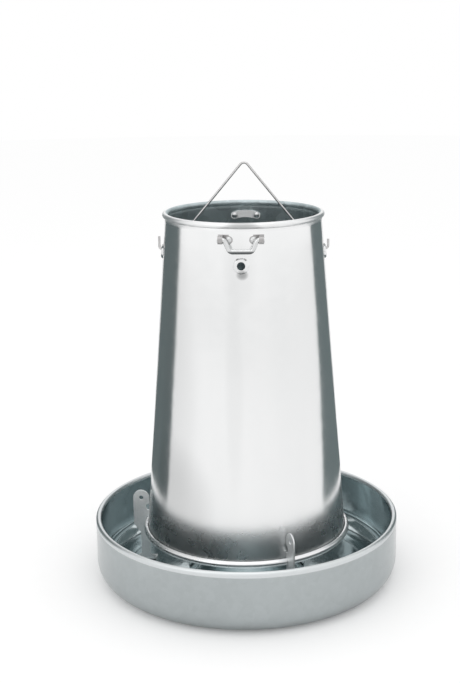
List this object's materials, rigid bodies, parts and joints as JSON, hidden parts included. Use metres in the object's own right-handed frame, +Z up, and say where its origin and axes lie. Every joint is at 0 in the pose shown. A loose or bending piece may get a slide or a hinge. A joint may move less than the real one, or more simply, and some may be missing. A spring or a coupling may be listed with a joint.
{
  "type": "hanging poultry feeder",
  "caption": "Galvanised hanging poultry feeder: conical hopper over a round pan on notched brackets, with a wire bail and drop handles.",
  "frame": {"origin": "middle of the face that the pan stands on", "axes": "+Z up along the hopper's axis; -Y is the front, with its drop handle and spare eye; the bail's hinge runs along X"},
  "size_m": [0.42, 0.42, 0.5748],
  "materials": {
    "pan_sheet": "bright galvanised, faint spangle",
    "hopper_sheet": "bright galvanised, glossy",
    "bracket_steel": "galvanised, satin",
    "rivet_steel": "plain rivet heads",
    "handle_steel": "zinc plated rod",
    "wire": "galvanised wire"
  },
  "bodies": {
    "feeder": {"pan": "pan_sheet", "spreader_cone": "pan_sheet", "hopper_shell": "hopper_sheet", "bracket_front_right": "bracket_steel", "bracket_rear_right": "bracket_steel", "bracket_left": "bracket_steel", "bracket_rivets_front_right": "rivet_steel", "bracket_rivets_rear_right": "rivet_steel", "bracket_rivets_left": "rivet_steel", "front_handle_strip": "bracket_steel", "front_handle_rivets": "rivet_steel", "front_ear_left": "bracket_steel", "front_ear_right": "bracket_steel", "rear_handle_strip": "bracket_steel", "rear_handle_rivets": "rivet_steel", "rear_ear_left": "bracket_steel", "rear_ear_right": "bracket_steel"},
    "bail_wire": {"bail": "wire"},
    "front_drop_handle": {"front_handle": "handle_steel"},
    "rear_drop_handle": {"rear_handle": "handle_steel"}
  },
  "joints": [
    {"name": "bail_hinge", "type": "hinge", "parent": "feeder", "child": "bail_wire", "pos_m": [0, 0, 0.4595], "axis": [1, 0, 0], "range_deg": [-60, 60]},
    {"name": "front_handle_hinge", "type": "hinge", "parent": "feeder", "child": "front_drop_handle", "pos_m": [0, -0.11119, 0.4899], "axis": [-1, 0, 0], "range_deg": [-5, 168]},
    {"name": "rear_handle_hinge", "type": "hinge", "parent": "feeder", "child": "rear_drop_handle", "pos_m": [0, 0.11119, 0.4899], "axis": [1, 0, 0], "range_deg": [-5, 168]}
  ]
}
